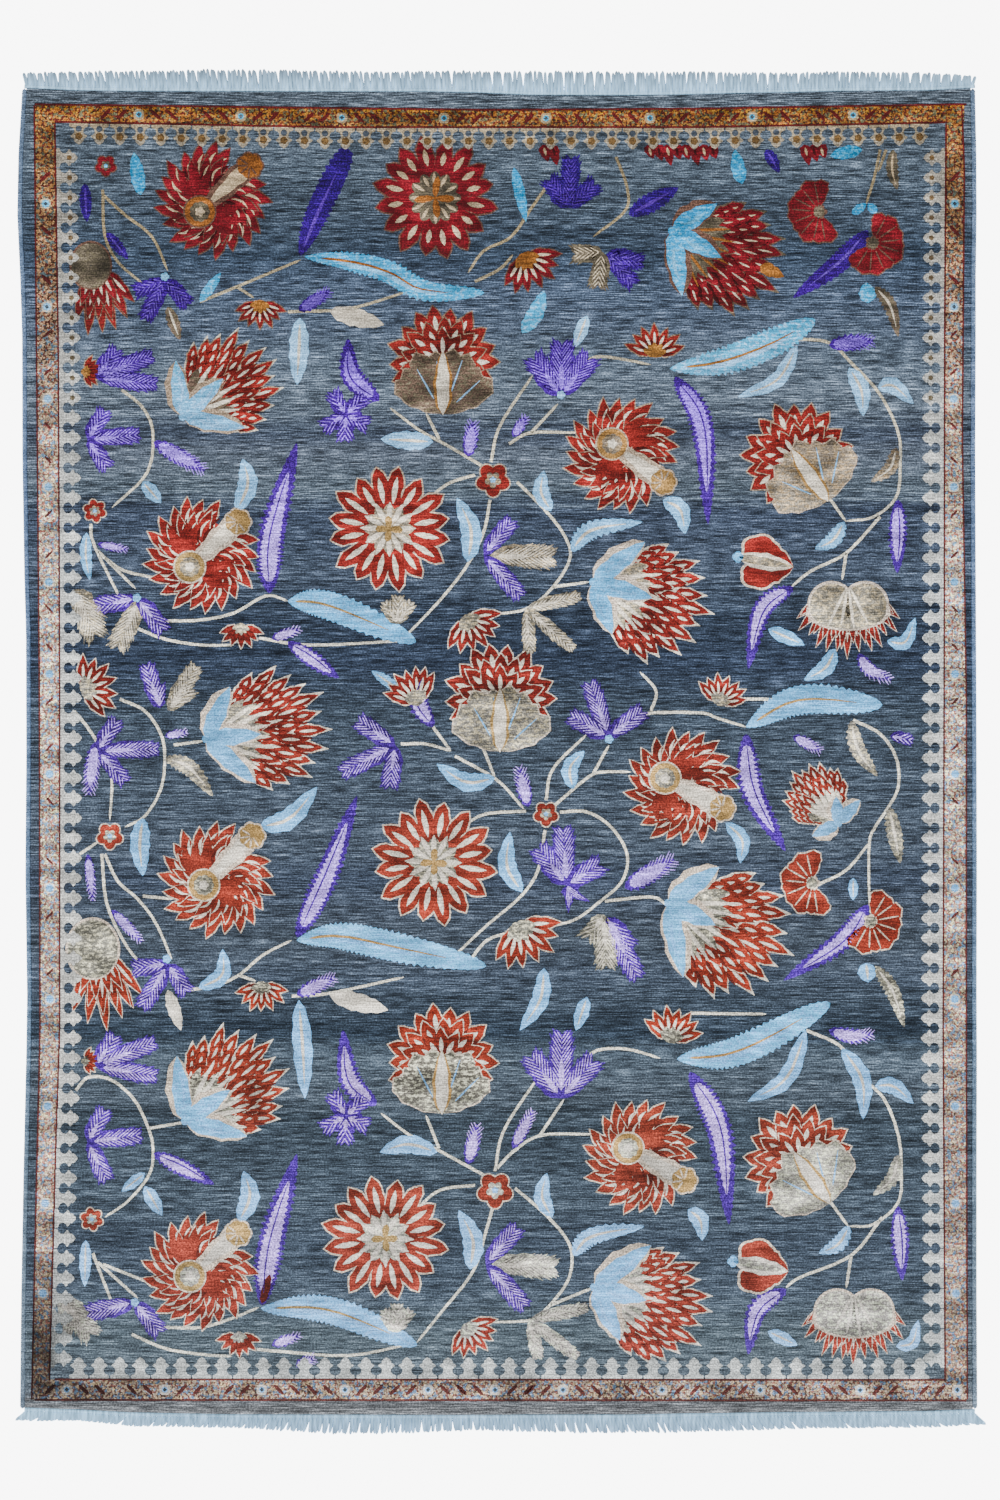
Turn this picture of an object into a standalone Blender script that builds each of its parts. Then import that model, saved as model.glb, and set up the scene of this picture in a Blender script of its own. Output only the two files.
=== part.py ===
"""A flat hand-knotted pile rug with a knotted fringe at both ends, lying on the ground.

+X is across the rug, +Y along it towards the far end, +Z up. The underside lies at Z = 0
and the centre of the whole outline is the origin.
"""
import bpy
import numpy as np

MM = 0.001

# Sizes of the woven body, in millimetres
PILE_HEIGHT = 8.0
PILE_EDGE_HEIGHT = 5.5
PILE_EDGE_ROUND = 4.0

# The overcast cord along each long side
CORD_WIDTH = 9.0
CORD_HEIGHT = 7.0
CORD_END_NARROWING = 0.6
CORD_END_ROUND = 4.0

# The woven end band and the knotted locks that grow from it
BAND_WIDTH = 6.0
BAND_HEIGHT = 3.0
LOCKS = 150
LOCK_ROOT_WIDTH = 6.4
LOCK_MIDDLE_WIDTH = 5.2
LOCK_TIP_WIDTH = 2.6
LOCK_MIDDLE_HEIGHT = 2.6
LOCK_TIP_HEIGHT = 1.4
LOCK_UNEVENNESS = 2.5
LOCK_LEAN_REACH = 45.0

# The space between neighbouring pieces
GAP = 0.3

# The furthest that the locks reach from the centre
HALF_WIDTH = 867.5
HALF_LENGTH = 1215.5

# The long sides as they lie: distance along, left edge, right edge
SIDES = (
    (1183.0, -853.0, 846.5),
    (1064.0, -860.0, 849.0),
    (957.0, -862.0, 849.5),
    (850.0, -857.0, 848.0),
    (743.0, -853.5, 848.0),
    (529.0, -853.0, 847.0),
    (315.0, -849.5, 848.0),
    (208.0, -846.5, 848.5),
    (-6.0, -846.0, 849.5),
    (-220.0, -847.5, 850.0),
    (-434.0, -844.5, 849.5),
    (-541.0, -846.0, 850.0),
    (-755.0, -851.0, 849.5),
    (-969.0, -855.0, 849.5),
    (-1172.0, -857.0, 850.5),
)

# The short ends as they lie: distance across, far end, near end
ENDS = (
    (-860.0, 1183.0, -1169.0),
    (-750.0, 1178.0, -1173.0),
    (-660.0, 1177.0, -1178.0),
    (-480.0, 1176.5, -1181.5),
    (-125.0, 1176.0, -1182.5),
    (-36.0, 1174.0, -1182.5),
    (53.0, 1170.0, -1182.0),
    (230.0, 1169.5, -1182.0),
    (320.0, 1170.5, -1180.0),
    (410.0, 1173.0, -1179.0),
    (500.0, 1174.5, -1177.5),
    (590.0, 1177.0, -1177.0),
    (765.0, 1178.5, -1175.5),
    (850.0, 1183.0, -1172.0),
)

# Where the tips of the locks lie: distance across, far tips, near tips
TIPS = (
    (-860.0, 1211.0, -1193.0),
    (-750.0, 1213.0, -1193.0),
    (-660.0, 1215.0, -1203.0),
    (-480.0, 1217.0, -1206.0),
    (-300.0, 1214.5, -1217.0),
    (-215.0, 1213.0, -1217.0),
    (-36.0, 1214.5, -1211.0),
    (140.0, 1213.0, -1215.5),
    (320.0, 1212.5, -1214.5),
    (500.0, 1211.0, -1209.0),
    (590.0, 1213.0, -1206.5),
    (765.0, 1211.0, -1205.0),
    (850.0, 1205.0, -1200.0),
)

# How far the outermost locks lean sideways: end, left corner, right corner
LEANS = (
    ("far", -5.0, 2.0),
    ("near", -21.0, 28.0),
)


def side_edge(along, column):
    """The left (column 1) or right (column 2) edge at this distance along."""
    table = np.array(SIDES)[::-1]
    return np.interp(along, table[:, 0], table[:, column])


def end_edge(across, column):
    """The far (column 1) or near (column 2) end at this distance across."""
    table = np.array(ENDS)
    return np.interp(across, table[:, 0], table[:, column])


def tip_line(across, column):
    """Where the tips of the far (1) or near (2) locks lie."""
    table = np.array(TIPS)
    return np.interp(across, table[:, 0], table[:, column])


def paint(name, colour, roughness):
    material = bpy.data.materials.new(name)
    material.use_nodes = True
    shader = material.node_tree.nodes["Principled BSDF"]
    shader.inputs["Base Color"].default_value = (*colour, 1.0)
    shader.inputs["Roughness"].default_value = roughness
    return material


def add_solid(name, points, faces, colour, roughness, smooth=False):
    """One closed mesh object from points in millimetres."""
    mesh = bpy.data.meshes.new(name)
    mesh.from_pydata((np.array(points) * MM).tolist(), [], faces)
    mesh.polygons.foreach_set("use_smooth", [smooth] * len(mesh.polygons))
    mesh.materials.append(paint(name + "_finish", colour, roughness))
    mesh.update()
    solid = bpy.data.objects.new(name, mesh)
    bpy.context.scene.collection.objects.link(solid)
    return solid


def side_line(column, inset):
    """A line along the rug, this far inside its left (1) or right (2) edge."""
    inward = 1.0 if column == 1 else -1.0
    return lambda along: side_edge(along, column) + inward * inset


def end_line(column, inset):
    """A line across the rug, this far inside its far (1) or near (2) end."""
    inward = -1.0 if column == 1 else 1.0
    return lambda across: end_edge(across, column) + inward * inset


def straight_line(place):
    return lambda other: place


def crossing(lengthwise, crosswise):
    """The point where a line along the rug meets a line across it."""
    across = lengthwise(0.0)
    for _ in range(4):
        along = crosswise(across)
        across = lengthwise(along)
    return across, along


def lines_along_the_length(first, last):
    """Lines across the rug from its near end to its far end, with the given end lines."""
    stations = [row[0] for row in SIDES[-2:0:-1]]
    return first + [straight_line(along) for along in stations] + last


def add_pile(name):
    """The slab: one grid for the top, the same grid flat on the ground, and a rim."""
    inset = CORD_WIDTH + GAP
    rounded = PILE_EDGE_ROUND
    stations = [row[0] for row in ENDS[1:-1]]
    lengthwise = [side_line(1, inset), side_line(1, inset + rounded)]
    lengthwise += [straight_line(across) for across in stations]
    lengthwise += [side_line(2, inset + rounded), side_line(2, inset)]
    crosswise = lines_along_the_length(
        [end_line(2, 0.0), end_line(2, rounded)],
        [end_line(1, rounded), end_line(1, 0.0)],
    )
    wide = len(lengthwise)
    deep = len(crosswise)
    top = []
    bottom = []
    for j in range(deep):
        for i in range(wide):
            across, along = crossing(lengthwise[i], crosswise[j])
            on_rim = i in (0, wide - 1) or j in (0, deep - 1)
            height = PILE_EDGE_HEIGHT if on_rim else PILE_HEIGHT
            top.append((across, along, height))
            bottom.append((across, along, 0.0))
    shift = wide * deep
    faces = []
    for j in range(deep - 1):
        for i in range(wide - 1):
            a = j * wide + i
            b = a + 1
            c = a + wide + 1
            d = a + wide
            faces.append((a, b, c, d))
            faces.append((shift + d, shift + c, shift + b, shift + a))
    rim = [i for i in range(wide)]
    rim += [j * wide + wide - 1 for j in range(1, deep)]
    rim += [(deep - 1) * wide + i for i in range(wide - 2, -1, -1)]
    rim += [j * wide for j in range(deep - 2, 0, -1)]
    for here, after in zip(rim, rim[1:] + rim[:1]):
        faces.append((shift + here, shift + after, after, here))
    return add_solid(name, top + bottom, faces, (0.075, 0.125, 0.19), 0.9)


def add_cord(name, column):
    """An overcast side cord: an eight-sided section with a flat foot, narrowed at its ends."""
    half = CORD_WIDTH / 2
    section = (
        (-0.55, 0.0),
        (0.55, 0.0),
        (1.0, 0.3),
        (1.0, 0.65),
        (0.6, 1.0),
        (-0.6, 1.0),
        (-1.0, 0.65),
        (-1.0, 0.3),
    )
    crosswise = lines_along_the_length(
        [end_line(2, 0.0), end_line(2, CORD_END_ROUND)],
        [end_line(1, CORD_END_ROUND), end_line(1, 0.0)],
    )
    rings = len(crosswise)
    points = []
    for ring, line in enumerate(crosswise):
        scale = CORD_END_NARROWING if ring in (0, rings - 1) else 1.0
        for inward, up in section:
            inset = half + inward * half * scale
            across, along = crossing(side_line(column, inset), line)
            points.append((across, along, up * CORD_HEIGHT * scale))
    sides = len(section)
    faces = [tuple(range(sides))]
    for ring in range(rings - 1):
        for k in range(sides):
            a = ring * sides + k
            b = ring * sides + (k + 1) % sides
            faces.append((b, a, a + sides, b + sides))
    last = (rings - 1) * sides
    faces.append(tuple(last + k for k in range(sides - 1, -1, -1)))
    if column == 2:
        faces = [face[::-1] for face in faces]
    return add_solid(name, points, faces, (0.10, 0.16, 0.22), 0.9, smooth=True)


def add_fringe(name, end, seed):
    """A woven band along one end, with locks that grow from its outer face."""
    column = 1 if end == "far" else 2
    outward = 1.0 if end == "far" else -1.0
    lean_left, lean_right = next(row[1:] for row in LEANS if row[0] == end)
    corner_along = ENDS[0][column]
    left = side_edge(corner_along, 1) + 1.0
    right = side_edge(corner_along, 2) - 1.0
    pitch = (right - left) / LOCKS
    spread = np.random.default_rng(seed)
    centres = left + pitch * (np.arange(LOCKS) + 0.5)
    lean = lean_left * np.exp(-(centres - left) / LOCK_LEAN_REACH)
    lean += lean_right * np.exp(-(right - centres) / LOCK_LEAN_REACH)
    lean += 1.8 * np.sin(centres / 61.0) + spread.uniform(-1.4, 1.4, LOCKS)
    uneven = spread.uniform(-LOCK_UNEVENNESS, LOCK_UNEVENNESS, LOCKS)

    points = []
    faces = []

    def add(across, along, up):
        points.append((across, along, up))
        return len(points) - 1

    def face(*corners):
        faces.append(corners if outward > 0 else corners[::-1])

    # Four lines run across the band, with a point at both sides of each root
    edges = [left]
    for centre in centres:
        edges += [centre - LOCK_ROOT_WIDTH / 2, centre + LOCK_ROOT_WIDTH / 2]
    edges.append(right)
    lines = []
    for across in edges:
        inner = end_edge(across, column) + outward * GAP
        outer = inner + outward * BAND_WIDTH
        lines.append(
            (
                add(across, inner, 0.0),
                add(across, outer, 0.0),
                add(across, outer, BAND_HEIGHT),
                add(across, inner, BAND_HEIGHT),
            )
        )
    face(lines[0][0], lines[0][3], lines[0][2], lines[0][1])
    face(*lines[-1])
    for k in range(len(lines) - 1):
        p = lines[k]
        q = lines[k + 1]
        face(p[3], q[3], q[2], p[2])
        face(p[0], p[1], q[1], q[0])
        face(p[0], q[0], q[3], p[3])
        if k % 2 == 0:
            face(p[1], p[2], q[2], q[1])

    # Each lock runs from its root over a bend to its tip
    for n, centre in enumerate(centres):
        p = lines[2 * n + 1]
        q = lines[2 * n + 2]
        root = end_edge(centre, column) + outward * (GAP + BAND_WIDTH)
        tip = np.clip(tip_line(centre, column) + outward * uneven[n], -HALF_LENGTH, HALF_LENGTH)
        ring = [p[1], q[1], q[2], p[2]]
        stations = (
            (0.55, 0.35, LOCK_MIDDLE_WIDTH, LOCK_MIDDLE_HEIGHT),
            (1.0, 1.0, LOCK_TIP_WIDTH, LOCK_TIP_HEIGHT),
        )
        for reach, bend, width, height in stations:
            limit = HALF_WIDTH - width / 2
            across = np.clip(centre + lean[n] * bend, -limit, limit)
            along = root + reach * (tip - root)
            after = [
                add(across - width / 2, along, 0.0),
                add(across + width / 2, along, 0.0),
                add(across + width / 2, along, height),
                add(across - width / 2, along, height),
            ]
            for k in range(4):
                m = (k + 1) % 4
                face(ring[m], ring[k], after[k], after[m])
            ring = after
        face(ring[3], ring[2], ring[1], ring[0])
    return add_solid(name, points, faces, (0.42, 0.50, 0.56), 0.85)


for leftover in list(bpy.data.objects):
    bpy.data.objects.remove(leftover, do_unlink=True)

add_pile("rug_pile")
add_cord("selvedge_left", 1)
add_cord("selvedge_right", 2)
add_fringe("fringe_far", "far", 11)
add_fringe("fringe_near", "near", 12)
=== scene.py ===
"""The finish of a hand-knotted rug: its wool ground, vines, leaves, flowers and borders of silk,
its side cords and its fringes, lying on a pale floor and seen from straight above."""

import bpy
import numpy as np
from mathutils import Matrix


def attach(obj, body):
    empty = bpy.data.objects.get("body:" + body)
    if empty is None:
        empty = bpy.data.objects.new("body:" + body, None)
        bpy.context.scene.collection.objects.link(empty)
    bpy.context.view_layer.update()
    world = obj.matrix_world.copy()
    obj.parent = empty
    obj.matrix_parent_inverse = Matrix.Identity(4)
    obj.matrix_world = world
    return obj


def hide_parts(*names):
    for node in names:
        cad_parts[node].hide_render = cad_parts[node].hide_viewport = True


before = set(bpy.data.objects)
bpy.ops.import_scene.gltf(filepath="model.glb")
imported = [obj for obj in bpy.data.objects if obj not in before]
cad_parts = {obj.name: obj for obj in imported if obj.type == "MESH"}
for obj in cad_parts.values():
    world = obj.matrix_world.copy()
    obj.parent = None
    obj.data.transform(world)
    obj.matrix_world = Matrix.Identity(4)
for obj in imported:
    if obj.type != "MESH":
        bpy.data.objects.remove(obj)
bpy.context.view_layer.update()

# The woven ground
# Hand-knotted wool pile on a cotton foundation, one cloth from end to end. The blue is dyed in
# small lots, so it changes in bands along the rug, and every row of knots shows as a streak.
# The design is charted in squares, counted from the chart's upper left corner.
SQUARE = 0.001783
CHART_CENTRE = (500.5, 751.5)
RUG_LENGTH = 2.431
PILE_TOP = 0.0082
PILE_WAVE = 0.00035
GROUND_CELL = 0.016
# Half the ground's nominal width and length, and the width that each side cord takes from it
HALF_WIDE = 0.84
HALF_LONG = 1.175
CORD_WIDTH = 0.0084
# Distance in from the edge, and how far the pile drops there
EDGE_ROUNDING = ((0.0, 0.0052), (0.0006, 0.0026), (0.002, 0.0009), (0.0045, 0.0))
EDGE_MARGIN = 0.012
# A row of knots is 1.2 mm high and a knot 1.8 mm wide. Both are drawn half as large again, so
# that they show. The streaks of rows, partly the yarn's own unevenness and partly painted shade
# between the rows, grow stronger by this share per metre to the far end.
STREAK_LONG = 0.034
STREAK_HIGH = 0.0018
STREAK_GROWTH = 0.17
KNOT = 0.0027
BAND_LONG = 0.28
BAND_HIGH = 0.0065
# Patches of painted sheen, lighter and darker, are this long across the rug and this high along it
SHEEN_LONG = 0.06
SHEEN_HIGH = 0.03
# How far a dye lot's border strays along the rug, how much brighter a whole weight makes the
# yarn, and how deep its rows and knots lie
LOT_STRAY = 0.024
BRIGHTER = 9.0
KNOT_DEPTH = 0.0005

# The rug's edges as it lies, in millimetres: distance along, left side, right side
SIDES = (
    (1183.0, -853.0, 846.5),
    (1064.0, -860.0, 849.0),
    (957.0, -862.0, 849.5),
    (850.0, -857.0, 848.0),
    (743.0, -853.5, 848.0),
    (529.0, -853.0, 847.0),
    (315.0, -849.5, 848.0),
    (208.0, -846.5, 848.5),
    (-6.0, -846.0, 849.5),
    (-220.0, -847.5, 850.0),
    (-434.0, -844.5, 849.5),
    (-541.0, -846.0, 850.0),
    (-755.0, -851.0, 849.5),
    (-969.0, -855.0, 849.5),
    (-1172.0, -857.0, 850.5),
)
# Distance across, far end, near end
ENDS = (
    (-860.0, 1183.0, -1169.0),
    (-750.0, 1178.0, -1173.0),
    (-660.0, 1177.0, -1178.0),
    (-480.0, 1176.5, -1181.5),
    (-125.0, 1176.0, -1182.5),
    (-36.0, 1174.0, -1182.5),
    (53.0, 1170.0, -1182.0),
    (230.0, 1169.5, -1182.0),
    (320.0, 1170.5, -1180.0),
    (410.0, 1173.0, -1179.0),
    (500.0, 1174.5, -1177.5),
    (590.0, 1177.0, -1177.0),
    (765.0, 1178.5, -1175.5),
    (850.0, 1183.0, -1172.0),
)
# Dye lots down the rug: chart row and colour
GROUND_DYES = (
    "88 #444d57, 170 #414c58, 205 #36404c, 258 #2d3847, 285 #3d495b, 330 #414c5c, 362 #4c5866, "
    "405 #505b68, 434 #323a48, 452 #4c5562, 488 #48535e, 512 #333c4c, 575 #3b4554, 612 #2a3341, "
    "664 #2a3343, 712 #343e4a, 845 #3f4956, 880 #343d4c, 905 #3a4350, 940 #3b444f, 975 #3c4654, "
    "1000 #353f4b, 1034 #28323e, 1054 #44505c, 1095 #424c57, 1120 #323c46, 1205 #3e4955, "
    "1240 #37414e, 1290 #404b58, 1335 #4a565f, 1388 #4a545e, 1404 #5f6266"
)


def edge_at(table, place, column):
    """The edge's distance, in metres, at this place along the other direction."""
    rows = np.array(sorted(table)) / 1000.0
    return np.interp(place, rows[:, 0], rows[:, column])


def lie(x, y):
    """The height of the pile's tips: a sum of three sine waves with crests at a slant."""
    return PILE_TOP + PILE_WAVE * (
        0.5 * np.sin(9.0 * x + 4.0 * y + 0.6)
        + 0.3 * np.sin(5.0 * x - 11.0 * y + 2.0)
        + 0.2 * np.sin(17.0 * y + 6.0 * x)
    )


def quads_of(rows, columns):
    """The faces of a grid of points, row after row."""
    first = np.arange((rows - 1) * columns).reshape(rows - 1, columns)[:, :-1].ravel()
    return np.stack([first, first + 1, first + columns + 1, first + columns], axis=1)


def stations(half):
    """Places from -half to half: close ones on each rounded edge, evenly spaced ones between."""
    ease = np.array([row[0] for row in EDGE_ROUNDING])
    inner = np.linspace(-half + EDGE_MARGIN, half - EDGE_MARGIN, int(2 * half / GROUND_CELL))
    return np.concatenate([ease - half, inner, half - ease[::-1]])


def ground_grid():
    """Points between the rug's four uneven edges, and each one's distance in from the edge.

    Each half of an even grid is stretched from the middle line to the edge at its own place.
    """
    u, v = np.meshgrid(stations(HALF_WIDE), stations(HALF_LONG))
    left, right = edge_at(SIDES, v, 1) + CORD_WIDTH, edge_at(SIDES, v, 2) - CORD_WIDTH
    x = np.where(u < 0, -left, right) * u / HALF_WIDE
    far, near = edge_at(ENDS, x, 1), edge_at(ENDS, x, 2)
    y = np.where(v < 0, -near, far) * v / HALF_LONG
    return x, y, np.minimum(HALF_WIDE - np.abs(u), HALF_LONG - np.abs(v))


def ground_body(x, y, inward):
    """The rug's closed body: the top grid, the same grid flat on the floor, and a rim between."""
    drops = np.array(EDGE_ROUNDING)
    top = lie(x, y) - np.interp(inward, drops[:, 0], drops[:, 1])
    over = np.stack([x, y, top], axis=2).reshape(-1, 3)
    under = np.stack([x, y, 0.0 * x], axis=2).reshape(-1, 3)
    index = np.arange(x.size).reshape(x.shape)
    ring = np.concatenate([index[0, :-1], index[:-1, -1], index[-1, :0:-1], index[:0:-1, 0]])
    after = np.roll(ring, -1)
    rim = np.stack([ring, after, after + x.size, ring + x.size], axis=1)
    faces = quads_of(*x.shape)
    return np.concatenate([over, under]), np.concatenate([faces, faces[:, ::-1] + x.size, rim])


def weave(name, points, quads, material, slot="pile"):
    """A smooth piece of the rug's one body, from its points in metres and its faces."""
    mesh = bpy.data.meshes.new(name)
    mesh.from_pydata(points.tolist(), [], quads.tolist())
    mesh.polygons.foreach_set("use_smooth", np.ones(len(quads), bool))
    mesh.materials.append(material)
    mesh.update()
    piece = bpy.data.objects.new(name, mesh)
    bpy.context.scene.collection.objects.link(piece)
    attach(piece, "root")
    return piece


def tone(code):
    """A screen colour such as #8090a0 as linear light."""
    share = np.array([int(code[i : i + 2], 16) for i in (1, 3, 5)]) / 255.0
    linear = np.where(share <= 0.04045, share / 12.92, ((share + 0.055) / 1.055) ** 2.4)
    return (*linear.tolist(), 1.0)


def add_node(tree, kind, inputs, **settings):
    """Adds a node. Each input is a value to set, or an output socket to link."""
    made = tree.nodes.new(kind)
    for key, value in settings.items():
        setattr(made, key, value)
    for key, value in inputs.items():
        if isinstance(value, bpy.types.NodeSocket):
            tree.links.new(value, made.inputs[key])
        else:
            made.inputs[key].default_value = value
    return made


def grain(tree, place, long, high, detail, contrast, seed=0.0):
    """A pattern from 0 to 1 whose grains are this long across the rug and this high along it."""
    scale = (1.0 / long, 1.0 / high, 1.0)
    shift = (seed, seed * 1.7, 0.0)
    scaled = add_node(
        tree, "ShaderNodeVectorMath", {0: place, 1: scale, 2: shift}, operation="MULTIPLY_ADD"
    )
    cloud = add_node(
        tree, "ShaderNodeTexNoise", {"Vector": scaled.outputs[0], "Scale": 1.0, "Detail": detail},
        noise_dimensions="2D",
    )
    bounds = {0: cloud.outputs[0], 1: 0.5 - contrast, 2: 0.5 + contrast}
    return add_node(tree, "ShaderNodeMapRange", bounds).outputs[0]


def dyed(tree, place, dyes, lots=0.5):
    """The dye's colour at this place along the rug, in the row that the lots' pattern moves it to.

    The row is y + stray (lots - 1/2), and the dyes are a text of chart rows and colours.
    """
    along = add_node(tree, "ShaderNodeSeparateXYZ", {0: place}).outputs[1]
    moved = add_node(
        tree, "ShaderNodeMath", {0: lots, 1: LOT_STRAY, 2: along}, operation="MULTIPLY_ADD"
    )
    far, near = (0.5 * (LOT_STRAY + side * RUG_LENGTH) for side in (1, -1))
    share = add_node(tree, "ShaderNodeMapRange", {0: moved.outputs[0], 1: far, 2: near})
    ramp = add_node(tree, "ShaderNodeValToRGB", {0: share.outputs[0]})
    stops = ramp.color_ramp.elements
    for n, stop in enumerate(dyes.split(", ")):
        row, code = stop.split()
        at = 0.5 + (float(row) - CHART_CENTRE[1]) * SQUARE / RUG_LENGTH
        mark = stops[n] if n < 2 else stops.new(at)
        mark.position = at
        mark.color = tone(code)
    return ramp.outputs[0]


def brightened(tree, colour, parts, power=0.0):
    """The colour times 9 to the power that is given plus the sum of weight (part - 1/2)."""
    for part, weight in parts:
        centred = add_node(tree, "ShaderNodeMath", {0: part, 1: 0.5}, operation="SUBTRACT")
        terms = {0: centred.outputs[0], 1: weight, 2: power}
        power = add_node(tree, "ShaderNodeMath", terms, operation="MULTIPLY_ADD").outputs[0]
    factor = add_node(tree, "ShaderNodeMath", {0: BRIGHTER, 1: power}, operation="POWER")
    terms = {0: colour, 3: factor.outputs[0]}
    return add_node(tree, "ShaderNodeVectorMath", terms, operation="SCALE").outputs[0]


def yarn(name, dyes, streak=0.5, band=0.2, patch=0.3, knots=0.4, roughness=0.8, flecks=()):
    """Pile yarn: its dye lots, brightened and darkened by its rows, its painted sheen and its
    knots, and darkened by painted shade where the pile lies the other way.

    Each fleck is another yarn's dyes, the share of its knots, their size in knots across and
    along, and a seed.
    """
    material = bpy.data.materials.new(name)
    material.use_nodes = True
    tree = material.node_tree
    place = add_node(tree, "ShaderNodeTexCoord", {}).outputs["Object"]
    # The rows' streaks are partly the yarn's own unevenness and partly painted shade between the rows
    rows = grain(tree, place, STREAK_LONG, STREAK_HIGH, 3.0, 0.2)
    lots = grain(tree, place, BAND_LONG, BAND_HIGH, 3.0, 0.22, 3.0)
    # Painted sheen: lighter and darker patches of silk gloss in the colour
    sheen = grain(tree, place, SHEEN_LONG, SHEEN_HIGH, 3.0, 0.2, 7.0)
    knot = grain(tree, place, 1.1 * KNOT, KNOT, 1.0, 0.25, 11.0)
    colour = dyed(tree, place, dyes, lots)
    for other, share, long, high, seed in flecks:
        spots = grain(tree, place, long * KNOT, high * KNOT, 1.0, 0.5, seed)
        limit = 0.5 + 0.13 * (1 - 2 * share)
        mask = add_node(tree, "ShaderNodeMapRange", {0: spots, 1: limit - 0.04, 2: limit + 0.04})
        mixed = {0: mask.outputs[0], 6: colour, 7: dyed(tree, place, other, lots)}
        colour = add_node(tree, "ShaderNodeMix", mixed, data_type="RGBA").outputs[2]
    # Painted shade where the pile lies the other way, from the piece's own attribute
    painted_nap_shade = add_node(tree, "ShaderNodeAttribute", {}, attribute_name="painted_nap_shade").outputs["Fac"]
    along = add_node(tree, "ShaderNodeSeparateXYZ", {0: place}).outputs[1]
    growth = {0: along, 1: streak * STREAK_GROWTH, 2: streak}
    streaks = add_node(tree, "ShaderNodeMath", growth, operation="MULTIPLY_ADD").outputs[0]
    parts = ((rows, streaks), (lots, band), (sheen, patch), (knot, knots))
    relief = add_node(
        tree, "ShaderNodeMath", {0: knot, 1: 0.5, 2: rows}, operation="MULTIPLY_ADD"
    ).outputs[0]
    bump = add_node(
        tree, "ShaderNodeBump", {"Strength": 0.6, "Distance": KNOT_DEPTH, "Height": relief}
    )
    shader = tree.nodes["Principled BSDF"]
    tree.links.new(brightened(tree, colour, parts, painted_nap_shade), shader.inputs["Base Color"])
    tree.links.new(bump.outputs[0], shader.inputs["Normal"])
    shader.inputs["Roughness"].default_value = roughness
    shader.inputs["Specular IOR Level"].default_value = 0.1
    return material


# Clipped wool: matt, with strong streaks of rows, partly painted shade, and hardly any painted sheen
ground_wool = yarn(
    "ground_wool", GROUND_DYES, streak=0.96, band=0.42, patch=0.15, knots=0.55, roughness=0.9
)
rug_ground = weave("rug_ground", *ground_body(*ground_grid()), ground_wool)
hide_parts("rug_pile")

# The raised knots
# The vines, leaves, flowers and borders are silk knots in other dyes. Clipped silk stands a
# little higher than the wool round it, and its rims go down into the pile. The functions draw on
# the chart: their places and lengths are in chart squares, their angles in degrees, clockwise
# from the right as seen from above, and a higher level lies over a lower one.
RIM_DEPTH = -0.0003
LEVEL_BASE = 0.0001
LEVEL_STEP = 0.00008
LEAF_CROSS = (-1.0, -0.88, 0.88, 1.0)
LEAF_RISE = (0.0, 1.0, 1.0, 0.0)
RAGGED = 0.1
BLUNT = 0.3
DISC_CROSS = (0.02, 0.5, 0.94, 1.0)
DISC_RISE = (1.0, 1.0, 1.0, 0.0)
# Down to this row the dyes are darker and the flowers plainer
DARK_ROWS = 300

stitches = {}


def raise_patch(group, grid, level, rise):
    """Adds a grid of chart places to a yarn's stitches, its columns raised by their share."""
    flat = (np.asarray(grid, float) - CHART_CENTRE) * (SQUARE, -SQUARE)
    height = LEVEL_BASE + LEVEL_STEP * level
    raised = RIM_DEPTH + (height - RIM_DEPTH) * np.broadcast_to(rise, grid.shape[:2])
    top = lie(flat[..., 0], flat[..., 1]) + raised
    points = np.concatenate([flat, top[..., None]], axis=2).reshape(-1, 3)
    stitches.setdefault(group, []).append((points, quads_of(*grid.shape[:2])))


def smooth(places, count):
    """A Catmull-Rom curve through the places, with this many points."""
    places = np.asarray(places, float)
    ends = np.concatenate([[2 * places[0] - places[1]], places, [2 * places[-1] - places[-2]]])
    at = np.linspace(0, len(places) - 1, count)
    first = np.minimum(at.astype(int), len(places) - 2)
    f = (at - first)[:, None]
    p, q, r, s = (ends[first + n] for n in range(4))
    cubic = (q - p / 3 - r + s / 3) * 3 * f**3
    return 0.5 * (2 * q + (r - p) * f + (2 * p - 5 * q + 4 * r - s) * f**2 + cubic)


def blade(group, places, width, level, full=(0.7, 0.8), teeth=0, bite=0.3, bend=0.0, rows=9):
    """A leaf, petal or vine: a strip along the curve through the places, bent by a parabola.

    Its half width goes as t^a (1 - t)^b, with a and b from full, less a saw-tooth share.
    """
    rows = 3 * teeth + 1 if teeth else rows
    t = np.linspace(0.0, 1.0, rows)
    line = smooth(places, rows)
    run = np.gradient(line, axis=0)
    side = np.stack([run[:, 1], -run[:, 0]], axis=1)
    side /= np.hypot(side[:, 0], side[:, 1])[:, None] + 1e-9
    line = line + side * (bend * 4 * t * (1 - t))[:, None]
    a, b = full
    peak = (a / (a + b)) ** a * (b / (a + b)) ** b if a + b else 1.0
    half = np.maximum(0.5 * width * t**a * (1 - t) ** b / peak, BLUNT)
    if teeth:
        half = half * (1 - bite * (1 - (np.arange(rows) % 3) / 2.0))
    wobble = np.sin(2.3 * np.arange(rows)[:, None] + places[0][0] + np.array([0, 0, 2.1, 2.1]))
    cross = half[:, None] * np.array(LEAF_CROSS) * (1 + RAGGED * wobble)
    raise_patch(group, line[:, None] + side[:, None] * cross[..., None], level, LEAF_RISE)


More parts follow.
